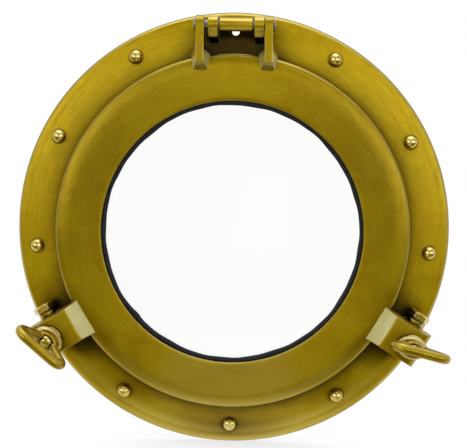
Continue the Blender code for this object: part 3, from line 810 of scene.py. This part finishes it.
def gasket(look):
    """The black glazing channel. Its hand-fitted front lip runs a little unevenly, and ends in a joint."""
    joint_at = radians(222)

    def waver(t, r, z):
        if r > 92 or z < 20.1:
            return 0.0
        away = (t - joint_at + pi) % (2 * pi) - pi
        waves = 0.22 * sin(7 * t + 1) + 0.16 * sin(16 * t) + 0.12 * sin(29 * t + 2)
        return waves - exp(-(away / 0.05) ** 2)

    outline = [(97.7, 13.9), (97.7, 21.9), (90.7, 21.9), (90.7, 22.7), (90.2, 22.9), (89.0, 22.75),
               (88.2, 22.3), (88.0, 21.5), (88.1, 20.4), (88.5, 20.3), (94.9, 20.3), (94.9, 15.0),
               (92.5, 15.0), (92.5, 13.9)]
    ring = turned("glazing_channel", outline, 300, disc(), wobble=waver)
    return piece(ring, look, "door", ["glazing_gasket"], 50)


# ---------------------------------------------------------------- hinge pin


def hinge(steel, cast):
    place = side_view() @ shift(PIN_Z, PIN_DEPTH)
    low, high = corners("hinge_spacer")
    left, right, r = low.x, high.x, (high.z - low.z) / 2
    tube = rounded([(3.3, left), (r, left), (r, right), (3.3, right)], 0.5)
    piece(turned("hinge_barrel", tube, 64, place), cast, "ring", ["hinge_spacer"])
    low, high = corners("hinge_pin")
    head_r = (high.z - low.z) / 2
    head = ARM_X[0] - ARM_HALF - 0.3
    pin = [(0, low.x), (head_r - 1.4, low.x), (head_r - 0.6, low.x + 0.3), (head_r - 0.1, low.x + 0.9),
           (head_r, head), (3.0, head), (3.0, high.x - 0.5), (2.5, high.x), (0, high.x)]
    piece(turned("hinge_pin_rod", pin, 48, place), steel, "ring", ["hinge_pin"])
    low, high = corners("hinge_pin_collar")
    collar_r = (high.z - low.z) / 2
    outline = rounded([(3.3, low.x), (collar_r, low.x), (collar_r, high.x), (3.3, high.x)], 0.3)
    piece(turned("hinge_pin_washer", outline, 48, place), steel, "ring", ["hinge_pin_collar"])


# ---------------------------------------------------------------- dogs

THREAD_PITCH = 1.5
THREAD_DEPTH = 0.62
THREAD_SIDES = 36
THREAD_STEP = 0.2
BOLT_R = 4.1
BOLT_TIP = 1.6
BOLT_EYE_R = 6.5
BOLT_EYE_HALF = 5.3


def threaded_shank(low, high, place):
    """A closed rod with a helical thread and a domed end."""
    bm = bmesh.new()
    rows = []
    count = int((high - low) / THREAD_STEP)
    for k in range(count + 1):
        z = low + THREAD_STEP * k
        top = max(0.0, (z - (high - BOLT_TIP)) / BOLT_TIP)
        fade = min(1.0, max(0.0, (z - low - 3.0) / 1.5)) * (1 - top)
        row = []
        for i in range(THREAD_SIDES):
            t = 2 * pi * i / THREAD_SIDES
            wave = abs(((z / THREAD_PITCH - t / (2 * pi)) % 1.0) * 2 - 1)
            depth = THREAD_DEPTH * fade * min(1.0, max(0.0, 1.25 * wave - 0.12))
            r = (BOLT_R - depth) * (1 - 0.42 * top ** 2)
            row.append(bm.verts.new((r * cos(t), r * sin(t), z)))
        rows.append(row)
    for row, following in zip(rows, rows[1:]):
        for i in range(THREAD_SIDES):
            j = (i + 1) % THREAD_SIDES
            bm.faces.new((row[i], row[j], following[j], following[i]))
    for row, z in ((rows[0], low), (rows[-1], low + THREAD_STEP * count + 0.35)):
        tip = bm.verts.new((0, 0, z))
        for i in range(THREAD_SIDES):
            bm.faces.new((row[i], row[(i + 1) % THREAD_SIDES], tip))
    return new_object("shank", bm, place)


def swing_bolt(side, look):
    angle, pivot_r, pivot_depth = PIVOTS[side]
    nut_r = NUTS[side][1]
    place = pivot_place(side)
    half = BOLT_EYE_HALF
    eye = rounded([(0, -half), (BOLT_EYE_R, -half), (BOLT_EYE_R, half), (0, half)], [0, 0.7, 0.7, 0])
    bolt = turned(f"{side}_eye_bolt", eye, 56, place)
    offset = nut_r - pivot_r
    neck = [(x, y, s * 3.5) for s in (-1, 1) for x, y in ((-5.4, 1.0), (6.0, 1.0), (offset + 3.4, 5.4))]
    neck += [(offset + x, 9.6, s * 2.4) for s in (-1, 1) for x in (-2.6, 2.6)]
    combine(bolt, [hull("neck", neck, place)], "UNION")
    softened(bolt, 0.35, 8)
    combine(bolt, [threaded_shank(pivot_depth + 7.0, BOLT_TOP - 0.35, disc(angle, nut_r))], "UNION")
    combine(bolt, [hole(place, PIVOT_HOLE_R, -half - 1, half + 1)], "DIFFERENCE")
    return piece(bolt, look, f"{side}_bolt", [f"{side}_swing_bolt"], 30)


def pivot_hardware(side, polished_look, cast):
    sign = 1 if side == "right" else -1
    place = pivot_place(side)
    low, high, tip = 17.3, 21.8, -12.0
    shank = [(0, tip), (2.3, tip), (2.9, tip + 0.6), (2.9, low + 1), (0, low + 1)]
    bolt = turned(f"{side}_hex_bolt", [(r, sign * z) for r, z in shank], 40, place)
    head = prism("head", arc((0, 0), 8.0, 0, 300, 5), *sorted((sign * low, sign * high)), place)
    cone = [(0, low), (7.6, low), (8.2, low + 0.4), (8.2, high - 1.3), (6.4, high), (0, high)]
    dome = turned("dome", [(r, sign * z) for r, z in cone], 64, place)
    combine(head, [dome], "INTERSECT")
    combine(bolt, [head], "UNION")
    piece(bolt, polished_look, "ring", [f"{side}_pivot_bolt"], 25)
    low, high = 13.1, 16.6
    outline = rounded([(3.2, low), (6.2, low), (6.2, high), (3.2, high)], [0.2, 0.4, 1.2, 0.2])
    collar = turned(f"{side}_collar", [(r, sign * z) for r, z in outline], 48, place)
    piece(collar, cast, "ring", [f"{side}_pivot_collar"])


def thread_washer(side, look):
    angle, r, _ = NUTS[side]
    low, high = WASHER_BACK, WASHER_BACK + 1.5
    outline = rounded([(4.4, low), (8.5, low), (8.5, high), (4.4, high)], 0.35)
    ring = turned(f"{side}_flat_washer", outline, 64, disc(angle, r))
    piece(ring, look, f"{side}_thread_follower", [f"{side}_washer"])


BAR_R = 3.35
BAR_HEIGHT = 32.4
BAR_HALF = 17.6
BAR_CORNER = 6.5
BOSS_HEIGHT = 10.5
HANDLE_ANGLES = {"left": 139.5, "right": -15.0}
HANDLE_LEANS = {"left": (0.0, 2.0), "right": (5.3, 5.4)}


def handle_path():
    corner = (BAR_HALF - BAR_CORNER, BAR_HEIGHT - BAR_CORNER)
    right = arc(corner, BAR_CORNER, 90, -32, 20)
    bottom = arc((0, 10.4), 6.0, -32, -148, 16)
    left = arc((-corner[0], corner[1]), BAR_CORNER, 212, 90, 20)
    return right + bottom + left


def eye_nut(side, look):
    angle, r, _ = NUTS[side]
    at = disc(angle, r, NUT_BASE).translation
    turn = disc(HANDLE_ANGLES[side])
    turn.translation = Vector()
    place = Matrix.Translation(at) @ turn
    collar = [(0, 0), (10.2, 0), (10.7, 0.5), (10.8, 1.2), (10.6, 2.2), (9.2, 3.8), (0, 3.8)]
    nut = turned(f"{side}_dog_nut", collar, 72, place, squeeze=0.75)
    boss = [(0, 2.0), (9.6, 2.0), (8.9, 4.8), (8.4, 8.0), (8.2, BOSS_HEIGHT - 0.9), (7.4, BOSS_HEIGHT),
            (0, BOSS_HEIGHT)]
    along, across = (radians(a) for a in HANDLE_LEANS[side])
    lean = Matrix.Rotation(along, 4, "Y") @ Matrix.Rotation(-across, 4, "X")
    combine(nut, [turned("boss", boss, 64, place, squeeze=0.72),
                  bent_bar("bar", handle_path(), BAR_R, place @ lean)], "UNION")
    softened(nut, 0.33, 7)
    combine(nut, [hole(place, BOLT_R + 0.3, -2, BOSS_HEIGHT + 4, 36)], "DIFFERENCE")
    return piece(nut, look, f"{side}_nut", [f"{side}_eye_nut"], 38)


# ---------------------------------------------------------------- assembly


def dress():
    # The flange gets painted shade low down and behind the hinge, and a rougher back
    ring_brass = brass("flange_brass", brushed=True, shade_and_rough_back=0.95)
    door_brass = brass("door_brass", brushed=True, tone=0.77, wear=0.7, facets=door_facets)
    handle = brass("handle_brass", coat=0.3, tone=0.86, wear=0.45, facets=nut_collar)
    cast = brass("barrel_brass", roughness=0.33, coat=0.4, wear=0.7)
    bright = polished("bright_brass", BRASS_BRIGHT)
    silver = polished("dull_steel", STEEL_DULL, 0.30)
    black = rubber("black_rubber")
    flange(ring_brass)
    rivets(bright)
    door(door_brass)
    gasket(black)
    hinge(silver, cast)
    for side in SIDES:
        swing_bolt(side, bright)
        pivot_hardware(side, bright, cast)
        thread_washer(side, bright)
        eye_nut(side, handle)
    kept = {"glass_pane": window_glass("clear_glass"), "glass_retaining_ring": cast,
            "door_seal": black}
    kept.update({n: silver for n in frame["nodes"] if n.startswith("retaining_screw")})
    for node, look in kept.items():
        slots = frame["nodes"][node].data.materials
        slots.clear()
        slots.append(look)


# ---------------------------------------------------------------- studio


class Card(Nodes):
    """A material or world that looks white to the camera and lights the metal by its own pattern."""

    def __init__(self, tree, output):
        super().__init__(tree)
        tree.nodes.clear()
        self.out = self.node(output)

    def toward(self, at, direction):
        return self.vector("DOT_PRODUCT", at, direction)

    def close(self, seen, felt, kind):
        """seen is the camera's view of it, through glass too; felt is what the metal reflects.
        The brighter a card, the cooler its light, and the dim ones are warm."""
        path = self.node("ShaderNodeLightPath").outputs
        direct = self.most(path["Is Camera Ray"], path["Is Transmission Ray"])
        green = self.times(felt, self.spread(felt, 0.30, 1.4, 0.93, 1.06))
        blue = self.times(felt, self.spread(felt, 0.30, 1.2, 0.15, 1.6))
        lit = self.node("ShaderNodeCombineColor", Red=felt, Green=green, Blue=blue).outputs[0]
        plain = self.node("ShaderNodeCombineColor", Red=seen, Green=seen, Blue=seen).outputs[0]
        shine = self.node(kind, Color=self.mix(direct, lit, plain))
        self.link(self.out.inputs["Surface"], shine.outputs[0])


FLOOR_R = 4000.0
FLOOR_SIDES = 64


def floor_look():
    """Bright under the object and flagged off in front of it. Distances here are in metres."""
    look = bpy.data.materials.new("pale_floor")
    look.use_nodes = True
    card = Card(look.node_tree, "ShaderNodeOutputMaterial")
    at = card.node("ShaderNodeTexCoord").outputs["Object"]
    y = card.toward(at, (0, 1, 0))
    aside = card.absolute(card.toward(at, (1, 0, 0)))
    near = card.spread(y, -0.09, -0.035, 0.18, 0.58)
    front = card.times(card.spread(aside, 0.05, 0.12, 0.36, 0.0), card.spread(y, -0.60, -0.18, 0.4, 1.0),
                       card.spread(y, -0.16, -0.07, 1.0, 0.0))
    strip = card.times(card.spread(aside, 0.03, 0.13, 0.28, 0.0), card.spread(y, -1.2, -0.4, 0.6, 1.0))
    sides = card.times(card.spread(aside, 0.10, 0.16, 0.0, 0.3), card.spread(y, -0.20, -0.14, 0.0, 1.0))
    far = card.spread(y, -1.6, -0.4, 0.20, 0.0)
    shadow = card.node("ShaderNodeAmbientOcclusion", {"samples": 16}, Distance=0.05).outputs["AO"]
    seen = card.spread(shadow, 0.2, 0.95, 0.80, 1.0)
    card.close(seen, card.add(near, front, strip, sides, far), "ShaderNodeEmission")
    return look


def floor(height):
    bm = bmesh.new()
    rim = arc((0, 0), FLOOR_R, 0, 360, FLOOR_SIDES)[:-1]
    bm.faces.new([bm.verts.new((x, y, height)) for x, y in rim])
    made = new_object("studio_floor", bm)
    made.data.materials.append(floor_look())


# (direction, angle in degrees to which it reaches, brightness)
SOFTBOXES = (
    ((0.32, -0.94, 0.10), 20, 1.4),
    ((-0.36, -0.93, 0.14), 21, 1.05),
    ((0.0, -0.10, 1.0), 41, 1.4),
    ((0.7, -0.62, 0.1), 28, 1.4),
    ((-0.65, -0.62, 0.25), 27, 1.2),
)


def world():
    """A white room, darker on the camera's side, with softboxes in it."""
    made = bpy.data.worlds.new("studio")
    bpy.context.scene.world = made
    made.use_nodes = True
    card = Card(made.node_tree, "ShaderNodeOutputWorld")
    at = card.node("ShaderNodeTexCoord").outputs["Generated"]
    level = card.spread(card.toward(at, (0, 1, 0)), -0.90, 0.5, 0.30, 0.86)
    for direction, reach, brightness in SOFTBOXES:
        near = card.toward(at, Vector(direction).normalized())
        level = card.add(level, card.spread(near, cos(radians(reach)), 1.0, 0.0, brightness))
    card.close(1.0, level, "ShaderNodeBackground")


# The camera is placed from the middle of the flange's back, and turned in radians
CAMERA_AT = (30.457, -905.468, 87.009)
CAMERA_PAN, CAMERA_TILT, CAMERA_ROLL = 0.0333, -0.09149, -0.01669
CAMERA_LENS = 98.64
LAMP_AT = (300, -900, 900)


def camera():
    data = bpy.data.cameras.new("camera")
    data.sensor_width = 36.0
    data.lens = CAMERA_LENS
    data.clip_start, data.clip_end = 0.05, 20.0
    obj = bpy.data.objects.new("camera", data)
    turn = (Matrix.Rotation(CAMERA_PAN, 4, "Z") @ Matrix.Rotation(CAMERA_TILT, 4, "X")
            @ Matrix.Rotation(CAMERA_ROLL, 4, "Y"))
    look_along_y = Matrix.Rotation(pi / 2, 4, "X")
    at = Vector(CAMERA_AT) + CENTRE
    obj.matrix_world = Matrix.Translation(at * MM) @ turn @ look_along_y
    bpy.context.collection.objects.link(obj)
    bpy.context.scene.camera = obj


def key_light():
    """One small lamp for the glints on the polished heads."""
    light = bpy.data.lights.new("key", "AREA")
    light.shape = "DISK"
    light.size = 0.25
    light.energy = 0.4
    made = bpy.data.objects.new("key", light)
    at = Vector(LAMP_AT)
    turn = (CENTRE - at).to_track_quat("-Z", "Y").to_matrix().to_4x4()
    made.matrix_world = Matrix.Translation(at * MM) @ turn
    bpy.context.collection.objects.link(made)


def studio():
    floor(RING_LOW.z - 0.3)
    world()
    key_light()
    camera()
    bpy.context.scene.view_settings.view_transform = "Standard"


dress()
studio()
bpy.context.view_layer.update()
